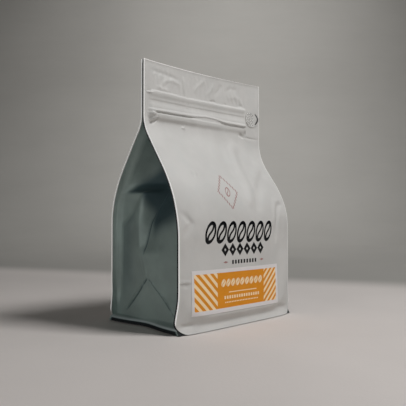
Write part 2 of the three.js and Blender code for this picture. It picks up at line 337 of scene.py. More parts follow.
def stepped(start, *stretches):
    """Values from start through each stretch, given as its end and its number of equal steps."""
    values = [np.array([start])]
    for end, steps in stretches:
        values.append(np.linspace(values[-1][-1], end, steps + 1)[1:])
    return np.concatenate(values)


def slope_at(slope, z):
    """Share of the full depth at height z: a parabola, a straight stretch and a parabola going down."""
    down = np.clip(slope.start - z, 0, slope.length)
    steepness = 1 / (slope.length - (slope.ease_in + slope.ease_out) / 2)
    into = steepness * down**2 / (2 * slope.ease_in)
    straight = steepness * (down - slope.ease_in / 2)
    out = 1 - steepness * (slope.length - down) ** 2 / (2 * slope.ease_out)
    lower = np.where(down < slope.length - slope.ease_out, straight, out)
    return np.where(down < slope.ease_in, into, lower)


def side_edge(z):
    """Half width of the bag at height z: half the flat width, less the waist where the bag is full."""
    return WIDTH / 2 - WAIST * window(z, WAIST_SPAN)


def panel_face(panel, x, z):
    """Y of a panel's plain outer face: its depth, from the seal to the full body, with a foot strip."""
    along = np.clip(x / side_edge(z), -1, 1)
    across = np.abs(along)
    full = mix(slope_at(panel.left, z), slope_at(panel.right, z), (along + 1) / 2)
    lean = panel.twist * along
    swell = panel.bulge * (1 - across ** mix(6, 3, smooth(10, 60, z)))
    body = mix(panel.seal, panel.body, full) + (swell - lean) * full
    flare = FOOT.flare * np.clip(1 - z / FOOT.flare_height, 0, 1) ** 2
    foot = FOOT.depth + FOOT.swell * (1 - across**6) - lean + flare
    depth = mix(foot, body, smooth(FOOT.height, mix(FULL_MIDDLE, FULL_EDGE, across**6), z))
    bow = BOW * smooth(BOW_FROM, HEIGHT, z) * (1 - across * across)
    return panel.side * depth + bow


def fold(x, z, height, width, points):
    """A fold along a bent line: height times a bell of the distance to it, fading over the line's ends."""
    points = np.array(points, float)
    lengths = np.linalg.norm(np.diff(points, axis=0), axis=1)
    starts = np.concatenate([[0.0], np.cumsum(lengths)])
    total = starts[-1]
    nearest = np.full(np.shape(x), 1e9)
    along = np.zeros(np.shape(x))
    for a, b, length, start in zip(points[:-1], points[1:], lengths, starts[:-1]):
        way = (b - a) / length
        t = np.clip((x - a[0]) * way[0] + (z - a[1]) * way[1], 0, length)
        distance = np.hypot(x - a[0] - way[0] * t, z - a[1] - way[1] * t)
        closer = distance < nearest
        nearest = np.where(closer, distance, nearest)
        along = np.where(closer, start + t, along)
    end = min(0.3 * total, 8.0)
    return height * bell(nearest, width) * window(along, (-0.2 * end, end, total - end, total + 0.2 * end))


def waves(x, z, seed):
    """Slow unevenness: sines of falling wavelength and height, each in a seeded direction and phase."""
    draw = np.random.default_rng(seed)
    total = np.zeros(np.shape(x))
    for length, height in WAVES:
        for _ in range(3):
            turn, phase = draw.uniform(0, 2 * math.pi, 2)
            way = x * np.cos(turn) + z * np.sin(turn)
            total = total + height / 3 * np.sin(way * 2 * math.pi / length + phase)
    return total


def zip_relief(x, z):
    """How proud the zipper makes the film stand: soft steps, each half of one minus a hyperbolic tangent."""
    total = np.zeros(np.shape(x))
    for height, width, route, strength in ZIP_STEPS:
        below = 0.5 - 0.5 * np.tanh((z - along_line(route, x)) / width)
        total = total + height * along_line(strength, x) * below
    foot, foot_width = ZIP_FOOT
    total = total * (0.5 + 0.5 * np.tanh((z - foot) / foot_width))
    left, right = ZIP_LOW[0], ZIP_HIGH[0]
    return np.maximum(total, 0) * window(x, (left - ZIP_END, left + 1, right - 1, right + ZIP_END))


def seal_ripple(x, z):
    """Small upright ripples over the top seal: a sine across, swayed and faded by slower sines."""
    height, length = 0.16, 5.4
    sway = 1.6 * np.sin(z / 5.1 + x / 17) + 0.9 * np.sin(z / 2.6 + x / 7)
    patch = 0.5 + 0.5 * np.sin(x / 6.3 + z / 9.5 + 1.3)
    return height * np.sin(x * 2 * math.pi / length + sway) * patch * window(z, (178.5, 183, 193, 198))


def keep_clear(relief, x, z):
    """Relief whose dents level off, by a hyperbolic tangent, above the dark film close behind the seals."""
    seal = np.maximum(smooth(0.84, 0.95, np.abs(x) / side_edge(z)), 0.45 * smooth(140, 155, z))
    deepest = mix(SINK, FILM - 0.05, seal)
    return deepest * np.tanh(np.minimum(relief, 0) / deepest) + np.maximum(relief, 0)


def film_relief(panel, x, z):
    """How proud a film stands of its panel's plain face: the sum of slow unevenness and folds, and on the
    front of the seal's ripples and the zipper."""
    inner = fade(0.9, 1.0, np.abs(x) / side_edge(z))
    total = waves(x, z, panel.seed) * inner * smooth(3, 30, z) * (1 - 0.6 * smooth(150, 165, z))
    for height, width, points in panel.folds:
        total = total + FOLD_STRENGTH * fold(x, z, height, width, points)
    pressed = 0
    if panel is FRONT:
        total = total + seal_ripple(x, z)
        pressed = zip_relief(x, z)
    return keep_clear(total * bpy.context.scene.bag_form.wrinkles + pressed, x, z)


def film_face(panel, x, z):
    """Y of a film's outer face: the panel's plain face with the relief added outwards."""
    return panel_face(panel, x, z) + panel.side * film_relief(panel, x, z)


def cell_quads(number):
    """Quads over a grid of vertex numbers, one for each cell."""
    return np.stack([number[:-1, :-1], number[1:, :-1], number[1:, 1:], number[:-1, 1:]], -1).reshape(-1, 4)


def lattice_shell(name, x, y, z, mark=None, flat=None):
    """A closed mesh of the outside of a lattice of points, given as three arrays of the same 3-D shape.

    Each of the lattice's six sides gives one quad a cell, wound so that its normal points outwards. For
    the material, a fourth array becomes the vertices' attribute mark, and a pair of arrays the UV map flat.
    """
    number = np.arange(x.size).reshape(x.shape)
    sides = []
    for axis in range(3):
        for end in (0, -1):
            quads = cell_quads(np.moveaxis(number, axis, 0)[end])
            outwards = (end == -1) != (axis == 1)
            sides.append(quads if outwards else quads[:, ::-1])
    used, faces = np.unique(np.concatenate(sides), return_inverse=True)
    points = np.stack([x.ravel(), y.ravel(), z.ravel()], -1)[used] * MM
    thing = new_mesh(name, points, faces.reshape(-1, 4))
    if mark is not None:
        layer = thing.data.attributes.new("mark", "FLOAT", "POINT")
        layer.data.foreach_set("value", mark.ravel()[used].astype(np.float32))
    if flat is not None:
        places = np.stack([part.ravel() for part in flat], -1)[used]
        layer = thing.data.uv_layers.new(name="flat")
        layer.data.foreach_set("uv", places[faces.ravel()].astype(np.float32).ravel())
    return thing


def new_mesh(name, points, quads):
    """An object of that name, at the origin, from arrays of points in metres and of quads."""
    mesh = bpy.data.meshes.new(name)
    mesh.vertices.add(len(points))
    mesh.vertices.foreach_set("co", points.astype(np.float32).ravel())
    mesh.loops.add(quads.size)
    mesh.loops.foreach_set("vertex_index", quads.astype(np.int32).ravel())
    mesh.polygons.add(len(quads))
    mesh.polygons.foreach_set("loop_start", np.arange(0, quads.size, 4, dtype=np.int32))
    mesh.update(calc_edges=True)
    mesh.validate()
    mesh.shade_smooth()
    mesh.set_sharp_from_angle(angle=math.radians(50))
    thing = bpy.data.objects.new(name, mesh)
    bpy.context.scene.collection.objects.link(thing)
    return thing


def sheet_lattice(columns, rows):
    """Places from -1 to 1 across and up a sheet, over a lattice of two layers."""
    whole = np.ones((columns + 1, 2, rows + 1))
    return whole * np.linspace(-1, 1, columns + 1)[:, None, None], whole * np.linspace(-1, 1, rows + 1)


OUTER = np.array([1.0, 0.0])[None, :, None]  # 1 on the first layer of a sheet, which faces the front


def panel_columns(middle_steps, arc_steps):
    """Columns across a panel as flat x and the height of its bottom edge there, with round corners."""
    straight = WIDTH / 2 - CORNER
    angle = np.linspace(0, math.pi / 2, arc_steps + 1)[1:]
    arc_x = straight + CORNER * np.sin(angle)
    arc_z = CORNER * (1 - np.cos(angle))
    middle = np.linspace(-straight, straight, middle_steps + 1)
    flat = np.concatenate([-arc_x[::-1], middle, arc_x])
    lowest = np.concatenate([arc_z[::-1], np.zeros(middle_steps + 1), arc_z])
    return flat[:, None, None], lowest[:, None, None]


def film_sheet(name, panel, columns, levels):
    """A panel's film: a closed sheet between its outer face and the same face one thickness further in.

    Its mark, for the painted highlight and glow on the cut edges, is a bell of the distance to the nearest
    cut edge, weaker at the right.
    """
    flat, lowest = panel_columns(columns, 10)
    lowest = lowest + FILM_LIFT
    z = np.repeat(lowest + (HEIGHT - lowest) * (levels / HEIGHT), 2, axis=1)
    x = flat / (WIDTH / 2) * side_edge(z)
    outer = OUTER if panel is FRONT else 1 - OUTER
    proud, width = RIM
    edge = bell(np.minimum(side_edge(z) - np.abs(x), HEIGHT - z), width)
    y = film_face(panel, x, z) + panel.side * (proud * edge * outer - FILM * (1 - outer))
    return lattice_shell(name, x, y, z, edge * mix(1, 0.78, smooth(-20, 50, x)))


def smooth_rows(table, z):
    """Every column of a table read at heights z, by cubics whose slopes never overshoot its rows."""
    rows, values = table[:, 0], table[:, 1:]
    gap = np.diff(rows)[:, None]
    rise = np.diff(values, axis=0) / gap
    product = rise[1:] * rise[:-1]
    safe = np.where(product > 0, rise[1:] + rise[:-1], 1)
    middle = np.where(product > 0, 2 * product / safe, 0)
    slope = np.concatenate([rise[:1], middle, rise[-1:]])
    at = np.clip(np.searchsorted(rows, z, side="right") - 1, 0, len(rows) - 2)
    width = gap[at]
    t = ((np.clip(z, rows[0], rows[-1]) - rows[at]) / gap[at, 0])[:, None]
    start = (1 + 2 * t) * (1 - t) ** 2 * values[at] + t * (1 - t) ** 2 * width * slope[at]
    end = t * t * (3 - 2 * t) * values[at + 1] + t * t * (t - 1) * width * slope[at + 1]
    return start + end


def gusset_table(levels, between):
    """Place across and inset of every wall column at every level, as two arrays (column, level).

    Columns run from the front seal over the four creases to the back seal, evenly between each pair.
    """
    read = smooth_rows(CREASES, levels).T
    end = np.ones((1, len(levels)))
    places = np.concatenate([-end, read[0::2], end])
    insets = np.concatenate([0 * end, read[1::2], 0 * end])
    strips = len(places) - 1
    step = np.arange(strips * between + 1) / between
    crease = np.minimum(step.astype(int), strips - 1)
    share = (step - crease)[:, None]
    across = mix(places[crease], places[crease + 1], share)
    return across, soften(mix(insets[crease], insets[crease + 1], share), 11)


def soften(values, reach):
    """Each value along the first axis, replaced by the mean of its neighbours under a triangle."""
    weights = reach + 1 - np.abs(np.arange(-reach, reach + 1))
    padded = np.pad(values, ((reach, reach), (0, 0)), mode="edge")
    total = sum(w * padded[n:n + len(values)] for n, w in enumerate(weights))
    return total / weights.sum()


def gusset_creases(across, z):
    """Sharp lines on a gusset's wall: inward fold, ridge under it, and the upturned V at its foot.

    Each is a bell of the distance to its line. Given as how deep they go, and how much painted shade darkens
    the film there.
    """
    fold_line = (across - smooth_rows(CREASES, z)[:, 2]) * HALF_DEPTH
    front_leg = (across - along_line(FRONT_LEG, z)) * HALF_DEPTH
    back_leg = (across - along_line(BACK_LEG, z)) * HALF_DEPTH
    inward = bell(fold_line, FOLD_LINE.width) * window(z, FOLD_LINE.span)
    ridge = bell(fold_line, RIDGE_LINE.width) * window(z, RIDGE_LINE.span)
    legs = window(z, LEG_LINE.span)
    groove = (bell(front_leg, LEG_LINE.width) + bell(back_leg, LEG_LINE.width)) * legs
    rim = (bell(front_leg + LEG_RIM.at, LEG_RIM.width) + bell(back_leg - LEG_RIM.at, LEG_RIM.width)) * legs
    fold_depth = FOLD_LINE.depth * inward + RIDGE_LINE.depth * ridge
    leg_depth = LEG_LINE.depth * groove + LEG_RIM.depth * rim
    return fold_depth + leg_depth, np.clip(FOLD_LINE.dark * inward + LEG_LINE.dark * groove, 0, 1)


def gusset_shade(across, z):
    """How much painted shade darkens the film: products of soft edges along the lines of the deep pocket,
    beside the gusset's peak and above it, and of the strip by the back seal."""
    side = along_line(POCKET_SIDE, z)
    foot = along_line(POCKET_FOOT, across)
    top = along_line(POCKET_TOP, across)
    slope = along_line(STRIP_TOP, across)
    beside = smooth(foot - 11, foot + 8, z) * fade(side - 0.1, side + 0.07, across) * fade(100, 124, z)
    above = smooth(99, 102.5, z) * fade(top - 9, top + 5, z) * fade(0.7, 0.92, across)
    strip = window(across, STRIP_SPAN) * smooth(12, 40, z) * fade(slope - 5, slope + 1, z)
    return np.clip(np.maximum(FOLD_PAINTED_SHADE * np.maximum(beside, above), STRIP_PAINTED_SHADE * strip), 0, 1)


def wall_reach(across, inset, z):
    """Half width of the pouch at a gusset's wall: in by the fin and the inset, out by the fillet at the back
    and front seals and by the foot strip."""
    fillet = FILLET[0] * bell((1 - np.abs(across)) * HALF_DEPTH, FILLET[1]) * smooth(8, 20, z)
    root = mix(*SIDE_FOOT_ROOT, smooth(-0.1, 0.1, across))
    strip = mix(*SIDE_FOOT, (across + 1) / 2) - SIDE_FOOT_NOTCH * bell(across, 0.45)
    strip = strip * fade(SIDE_FOOT_FILM, root, z)
    return np.minimum(side_edge(z) - FIN - inset + strip + fillet, side_edge(z))


def fin_reach(in_front, z):
    """Half width of the pouch at a fin's cut edge: a little past the film's or short of it, less the arc of
    the round bottom corner."""
    corner = np.clip(1 - z / CORNER, 0, 1)
    return side_edge(z) + np.where(in_front, *FIN_PAST) - CORNER * (1 - np.sqrt(1 - corner * corner))


def pouch_lattice(between):
    """Lattice of the filled pouch between the panels, and its mark of painted shade and shadow.

    Columns run across it from the front film's inner face, along the front fin, over the gusset wall's
    creases, and along the back fin to the back film. Each is stretched from the middle to both sides.
    """
    z = stepped(0, (8, 20), (34, 34), (58, 30), (112, 66), (160, 40), (HEIGHT - 0.6, 14))
    across, inset = gusset_table(z, between)
    crease, painted_crease_shade = gusset_creases(across, z)
    number = np.arange(len(across) + 2 * FIN_COLUMNS)
    wall = np.clip(number - FIN_COLUMNS, 0, len(across) - 1)
    across, inset, painted_crease_shade = across[wall], (inset + crease)[wall], painted_crease_shade[wall]
    out = np.minimum(number, number[::-1])[:, None]
    in_front = (number < FIN_COLUMNS)[:, None]
    in_back = in_front[::-1]
    in_fin = in_front | in_back
    fin_share = np.where(in_fin, np.clip(1 - (out - 1) / (FIN_COLUMNS - 1), 0, 1), 0)

    wall_edge = wall_reach(across, inset, z)
    reach = mix(wall_edge, np.maximum(fin_reach(in_front, z), wall_edge), fin_share)
    x = np.concatenate([-SPREAD[:0:-1], SPREAD])[:, None, None] * reach
    rise = SIDE_FOOT_LIFT * smooth(BASE_FLAT, WIDTH / 2 - FIN, np.abs(x))
    lifted = z + rise * np.clip(1 - z / 8, 0, 1)

    front = panel_face(FRONT, x, lifted) + FILM + CLEAR
    back = panel_face(BACK, x, lifted) - FILM - CLEAR
    sink = np.minimum(SINK, (back - front) * 0.45) * fade(*SINK_FADE, np.abs(x) / side_edge(z))
    front = front + sink
    back = back - sink
    film = np.minimum(DARK_FILM, (back - front) * 0.25)
    root_swell = FIN_ROOT * window(z, FIN_ROOT_SPAN)
    inside = mix(front + film, back - film - root_swell, (across + 1) / 2)
    slanted = film * (1 - 0.12 * fin_share)
    back_fin = back - slanted - root_swell * (1 - fin_share)
    y = np.where(in_front, front + slanted, np.where(in_back, back_fin, inside))
    y[:, 0] = front[:, 0]
    y[:, -1] = back[:, -1]

    # The mark is painted shade and shadow: near-black on the front fin's cut edge for its edge and the
    # shaded gap beside it, near-black on the foot strip's lower face for the shadow under it, and darker in
    # the gusset's pocket, strip and creases
    cut = (number < 2)[:, None]
    under = fade(SIDE_FOOT_FILM - 0.9, SIDE_FOOT_FILM - 0.1, z) * fade(0.94, 0.99, np.abs(across))
    painted_fold_shade = np.where(in_fin, 0, np.maximum(gusset_shade(across, z), painted_crease_shade))
    mark = np.maximum(np.maximum(cut, under), painted_fold_shade)
    return x, y, lifted, mark * np.ones(x.shape)


def label_sheet(name):
    """The label: a thin turned rectangle laid on the front film, with a UV map over its flat size."""
    across, up = sheet_lattice(120, 44)
    middle = (LABEL_LOW + LABEL_HIGH) / 2
    u = across * LABEL.width / 2
    v = up * LABEL.height / 2
    x = middle[0] + u * math.cos(LABEL.turn) - v * math.sin(LABEL.turn)
    z = middle[2] + u * math.sin(LABEL.turn) + v * math.cos(LABEL.turn)
    y = film_face(FRONT, x, z) - LABEL.clear - LABEL.film * OUTER
    return lattice_shell(name, x, y, z, flat=((across + 1) / 2, (up + 1) / 2))


def tab_sheet(name):
    """The tear tab: a thin round sheet on the front film whose outer edge lifts, with a knurled grip.

    A square grid is drawn round: x times the root of one minus half of z squared, and the reverse. Its
    mark is painted shadow in the crescent that is pressed round its outer edge, and darker on the knurl's
    raised points.
    """
    across, up = sheet_lattice(48, 48)
    middle = (TAB_LOW + TAB_HIGH) / 2
    radius = (TAB_HIGH[0] - TAB_LOW[0]) / 2
    u = across * np.sqrt(1 - up * up / 2)
    v = up * np.sqrt(1 - across * across / 2)
    x = middle[0] + radius * u
    z = middle[2] + radius * v
    lift = TAB.lift * smooth(TAB.lift_from, radius, radius * u) * bell(radius * v, 6.0)
    grip = window(u, (-1, -0.8, 0.1, 0.35)) * fade(0.7, 0.95, np.abs(v))
    knurl = np.sin(radius * u * 2.3 + 0.7 * np.sin(radius * v * 1.7)) * np.sin(radius * v * 2.1)
    crescent = bell(radius * (np.hypot(u, v) - 0.8), 1.0) * smooth(0.3, 0.6, u)
    thickness = TAB.film + TAB.knurl * knurl * grip - TAB.crescent * crescent
    y = film_face(FRONT, x, z) - TAB.clear - lift - thickness * OUTER
    # painted shadow in the crescent, and darker on the knurl's raised points
    dark = np.maximum(crescent, 0.5 + 0.3 * smooth(0.3, 0.9, knurl) * grip) * OUTER
    return lattice_shell(name, x, y, z, dark)


class Field:
    """A number, colour or vector that varies over a surface: a node's socket with arithmetic."""

    def __init__(self, shader, socket):
        self.shader = shader
        self.socket = socket

    def math(self, operation, *values):
        return self.shader.node("ShaderNodeMath", {"operation": operation}, dict(enumerate(values)))

    def __add__(self, other):
        return self.math("ADD", self, other)

    def __sub__(self, other):
        return self.math("SUBTRACT", self, other)

    def __rsub__(self, other):
        return self.math("SUBTRACT", other, self)

    def __mul__(self, other):
        return self.math("MULTIPLY", self, other)

    def __truediv__(self, other):
        return self.math("DIVIDE", self, other)

    def __abs__(self):
        return self.math("ABSOLUTE", self)

    __radd__ = __add__
    __rmul__ = __mul__

    def root(self):
        return self.math("SQRT", self)

    def sine(self):
        return self.math("SINE", self)

    def part(self):
        """What is left after the whole number below."""
        return self.math("FRACT", self)

    def most(self, *others):
        """The largest of this and the others."""
        largest = self
        for other in others:
            largest = self.math("MAXIMUM", largest, other)
        return largest

    def ramp(self, start, end):
        """0 at start and 1 at end, smooth between."""
        settings = {"interpolation_type": "SMOOTHSTEP"}
        return self.shader.node("ShaderNodeMapRange", settings, {0: self, 1: start, 2: end})

    def within(self, limit, soft):
        """1 where the field is below a limit, falling to 0 over a soft edge."""
        return self.ramp(limit + soft / 2, limit - soft / 2)

    def between(self, low, high, soft):
        """1 where the field lies between two values, with soft edges."""
        return abs(self - (low + high) / 2).within((high - low) / 2, soft)


class Shader:
    """A material under construction, whose nodes all come from one method."""

    def __init__(self, name):
        self.material = bpy.data.materials.new(name)
        self.material.use_nodes = True
        self.tree = self.material.node_tree
        self.tree.nodes.clear()
        self.place = self.node("ShaderNodeTexCoord", output="Object")  # in metres

    def node(self, kind, settings=None, inputs=None, output=0):
        """A new node with its settings and its inputs' values or links, given as one of its outputs."""
        made = self.tree.nodes.new(kind)
        for key, value in (settings or {}).items():
            setattr(made, key, value)
        for key, value in (inputs or {}).items():
            if isinstance(value, Field):
                self.tree.links.new(value.socket, made.inputs[key])
            else:
                made.inputs[key].default_value = value
        return Field(self, made.outputs[output]) if made.outputs else None

    def axes(self, vector, unit):
        """The three coordinates of a vector as fields, in a unit."""
        return [self.node("ShaderNodeSeparateXYZ", None, {0: vector}, n) / unit for n in range(3)]

    def mark(self):
        """The vertices' attribute mark."""
        return self.node("ShaderNodeAttribute", {"attribute_name": "mark"}, None, "Fac")

    def noise(self, size, detail=3.0, roughness=0.5, squeeze=None):
        """Smooth noise from 0 to 1 whose features are about size metres across, less where squeezed."""
        place = self.place
        if squeeze:
            place = self.node("ShaderNodeVectorMath", {"operation": "MULTIPLY"}, {0: place, 1: squeeze})
        inputs = {"Vector": place, "Scale": 1 / size, "Detail": detail, "Roughness": roughness}
        return self.node("ShaderNodeTexNoise", None, inputs)

    def blend(self, first, second, share):
        """The first colour, moved towards the second by a share of the way."""
        colours = [c if isinstance(c, Field) else (*c, 1.0) for c in (first, second)]
        inputs = {0: share, 6: colours[0], 7: colours[1]}
        return self.node("ShaderNodeMix", {"data_type": "RGBA"}, inputs, 2)

    def bump(self, height, depth, below=None):
        """A normal from a height field, where 1 stands depth metres proud."""
        inputs = {"Height": height, "Distance": depth, "Strength": 1.0}
        if below is not None:
            inputs["Normal"] = below
        return self.node("ShaderNodeBump", None, inputs)

    def surface(self, **inputs):
        """Ends the material with one Principled shader, given its inputs by name with _ for a space."""
        named = {key.replace("_", " "): value for key, value in inputs.items()}
        shader = self.node("ShaderNodeBsdfPrincipled", None, named)
        self.node("ShaderNodeOutputMaterial", None, {"Surface": shader})
        return self.material


def scaled(colour, factor):
    """A colour made lighter or darker by a factor."""
    return tuple(min(c * factor, 1.0) for c in colour)


def mottled(shader, colour, size, low, high):
    """A colour that drifts between a darker and a lighter factor of itself in patches of a size."""
    patches = shader.noise(size, 4.0).ramp(0.3, 0.7)
    return shader.blend(scaled(colour, low), scaled(colour, high), patches)


def film_crinkle(shader, height):
    """Fine crinkle of a laminate: three sizes of noise, the largest stretched along the bag."""
    broad = shader.noise(0.013, 2.0, squeeze=(1.0, 1.0, 0.6))
    fine = shader.noise(0.0032, 3.0, 0.55)
    grain = shader.noise(0.0007, 2.0)
    normal = shader.bump(broad, 4.2 * height)
    normal = shader.bump(fine, 0.8 * height, normal)
    return shader.bump(grain, 0.16 * height, normal)


def in_row(x, row):
    """Distance from the middle of the nearest of a row's evenly spaced marks, and 1 along the row."""
    pitch = (row.right - row.left) / row.count
    local = (((x - row.left) / pitch).part() - 0.5) * pitch
    return local, x.between(row.left, row.right, row.soft)


def leaning_beans(x, z, row, solid=False):
    """A row of leaning ovals with a slit: outlines and slits, or solid ovals with the slit left bare."""
    local, along = in_row(x, row)
    up = z - row.middle
    lean = math.radians(row.lean)
    wide = local * math.cos(lean) - up * math.sin(lean)
    tall = local * math.sin(lean) + up * math.cos(lean)
    wide_share = wide / row.half_width
    tall_share = tall / row.half_height
    reach = (wide_share * wide_share + tall_share * tall_share).root()
    wave = (tall_share * math.pi).sine() * (0.25 * row.half_width)
    slit = abs(wide - wave).within(row.stroke / 2, row.soft)
    inside = reach.within(1.0, row.soft / row.half_width)
    if solid:
        return inside * (1 - slit) * along
    rim = (abs(reach - 1.0) * row.half_width).within(row.stroke / 2, row.soft)
    return rim.most(slit * inside) * along


def diamonds(x, z, row):
    """A row of upright diamonds, each with a small bare diamond in its middle."""
    local, along = in_row(x, row)
    reach = abs(local) / row.half_width + abs(z - row.middle) / row.half_height
    return reach.between(row.bare, 1.0, row.soft / row.half_width) * along


def dashes(x, z, row):
    """A row of short upright dashes."""
    local, along = in_row(x, row)
    beside = abs(local).within(row.half_width, row.soft)
    return beside * abs(z - row.middle).within(row.half_height, row.soft) * along


def dotted_diamond(x, z, mark):
    """A diamond outline of round dots, spaced evenly along its four sides."""
    wide = abs(x - mark.x) / mark.half_width
    tall = abs(z - mark.z) / mark.half_height
    across = (wide + tall - 1.0) * (mark.half_width * 0.72)
    along = ((wide * mark.dots).part() - 0.5) * (mark.half_width * 1.4 / mark.dots)
    return (across * across + along * along).root().within(mark.radius, mark.soft)


def rectangle(x, z, area):
    """1 inside an upright rectangle."""
    return x.between(area.left, area.right, area.soft) * z.between(area.low, area.high, area.soft)


# Print on the front film
BEAN_ROW = Sizes(
    left=-40.0, right=36.0, count=7, middle=70.8, half_width=4.0, half_height=7.3, lean=24.0, stroke=1.65,
    soft=0.2,
)
DIAMOND_ROW = Sizes(
    left=-24.3, right=24.3, count=6, middle=57.8, half_width=4.0, half_height=4.9, bare=0.24, soft=0.3,
)
DASH_ROW = Sizes(left=-13.6, right=15.6, count=9, middle=48.4, half_width=0.95, half_height=1.5, soft=0.3)
END_MARKS = Sizes(
    left=-40.6, right=42.6, count=2, middle=48.6, half_width=2.6, half_height=0.9, bare=0.0, soft=0.3,
)
DOTTED_MARK = Sizes(x=-8.5, z=101.3, half_width=10.6, half_height=12.8, dots=6, radius=0.8, soft=0.35)
MARK_BEAN = Sizes(
    left=-12.5, right=-4.5, count=1, middle=101.3, half_width=2.2, half_height=3.5, lean=24.0, stroke=0.6,
    soft=0.3,
)

# Painted highlights, glow, shade and shadow on the films' edges and folds
RIM_HIGHLIGHT = (0.95, 0.94, 0.92)  # painted highlight on the white films' cut edges
TAB_PAINTED_SHADOW = (0.02, 0.02, 0.02)  # painted shadow in the tab's crescent, which also darkens the knurl's raised points
RIM_PAINTED_GLOW = 0.22  # painted glow of the white films' cut edges, given as emission though they are no lamp
FOOT_HIGHLIGHT = (0.44, 0.5, 0.5)  # painted highlight on the foot strip's upper edge
FOLD_SHADE_COLOUR = (0.006, 0.036, 0.052)  # painted shade in the dark film's folds, creases and pocket
CUT_AND_FOOT_SHADOW = (0.005, 0.008, 0.01)  # painted shadow: near-black on its front cut edges, standing for the dark edge and the shaded gap, and on the foot strip's lower face


def white_surface(name, colours, form, rim_colour=RIM_HIGHLIGHT, glow=RIM_PAINTED_GLOW, ior=1.47, printed=False):
    """White laminate with a slow mottle and faint cooler patches, whose cut edge carries painted light: a
    painted highlight and glow, or on the tab painted shadow.
    """
    shader = Shader(name)
    # edge is the mark: painted highlight and glowing emission on the white films' cut edges, painted shadow
    # on the tab
    edge = shader.mark().ramp(0.5, 0.95)
    white = mottled(shader, colours.white_film, 0.03, 0.95, 1.04)
    cool = tuple(c * k for c, k in zip(colours.white_film, (0.96, 0.985, 0.99)))
    white = shader.blend(white, cool, shader.noise(0.011, 2.0).ramp(0.45, 0.75) * 0.4)
    colour = shader.blend(white, rim_colour, edge)
    roughness = 0.47 + shader.noise(0.02) * 0.12
    if printed:
        colour, roughness = front_print(shader, colours, colour, roughness)
    return shader.surface(
        Base_Color=colour, Roughness=roughness, IOR=ior, Normal=film_crinkle(shader, form.crinkle),
        Emission_Color=shader.blend((0.0, 0.0, 0.0), RIM_HIGHLIGHT, edge), Emission_Strength=glow,
    )


def front_print(shader, colours, colour, roughness):
    """Colour and roughness with the front's dark and rose print, only where the film faces the front."""
    x, _, z = shader.axes(shader.place, MM)
    ink = leaning_beans(x, z, BEAN_ROW).most(diamonds(x, z, DIAMOND_ROW), dashes(x, z, DASH_ROW))
    rose = dotted_diamond(x, z, DOTTED_MARK).most(leaning_beans(x, z, MARK_BEAN), diamonds(x, z, END_MARKS))
    normal = shader.node("ShaderNodeNewGeometry", output="Normal")
    faces_front = shader.axes(normal, 1.0)[1].ramp(0.1, -0.1)
    colour = shader.blend(colour, tuple(colours.ink), ink * faces_front)
    colour = shader.blend(colour, tuple(colours.rose_ink), rose * faces_front * 0.85)
    return colour, roughness - ink * 0.27


def dark_surface(name, colours, form):
    """Dark satin laminate of the gussets and base: mottled, with a painted highlight on the foot strip's
    upper edge, painted shade in its folds and pocket, and near-black painted shadow on the front cut edge
    and under the foot strip.
    """
    shader = Shader(name)
    x, _, z = shader.axes(shader.place, MM)
    mark = shader.mark()
    colour = mottled(shader, colours.dark_film, 0.022, 0.9, 1.12)
    # painted highlight along the foot strip's upper edge, where it faces up to the light
    foot_highlight = z.between(SIDE_FOOT_FILM, SIDE_FOOT_FILM + 1.4, 0.7) * abs(x).ramp(BASE_FLAT + 1, BASE_FLAT + 3)
    colour = shader.blend(colour, FOOT_HIGHLIGHT, foot_highlight)
    # painted shade in the folds, then near-black painted shadow on the front cut edge and under the foot
    # strip
    colour = shader.blend(colour, FOLD_SHADE_COLOUR, mark)
    colour = shader.blend(colour, CUT_AND_FOOT_SHADOW, mark.ramp(0.85, 0.98))
    return shader.surface(
        Base_Color=colour, Roughness=0.36 + shader.noise(0.016) * 0.12 + mark * 0.3, Metallic=0.15,
        IOR=1.5, Normal=film_crinkle(shader, form.crinkle * 1.1),
    )


# Print on the label, from its middle
LABEL_PRINT = Sizes(left=-45.6, right=45.0, low=-12.9, high=13.1, soft=0.3)
LABEL_FIELD = (-23.6, 29.0)  # left and right edge of the orange middle
LABEL_RULE = Sizes(left=-11.5, right=20.0, low=-2.05, high=-1.35, soft=0.3)
LABEL_BEANS = Sizes(
    left=-20.0, right=27.2, count=9, middle=5.4, half_width=2.1, half_height=3.0, lean=24.0, stroke=0.5,
    soft=0.3,
)
LABEL_DASHES = Sizes(
    left=-17.0, right=23.5, count=15, middle=-5.4, half_width=0.85, half_height=1.15, soft=0.3,
)
LABEL_SMALL = Sizes(
    left=-16.0, right=22.0, count=21, middle=-9.0, half_width=0.62, half_height=0.45, soft=0.3,
)
STRIPE_PITCH = (6.6, 5.6)  # distance between the slanting stripes at the left and right


def stripes(slant, pitch):
    """Stripes as wide as the gaps between them, where slant is the distance across them."""
    return (abs((slant / pitch).part() - 0.5) * pitch).within(pitch / 4, LABEL_PRINT.soft)


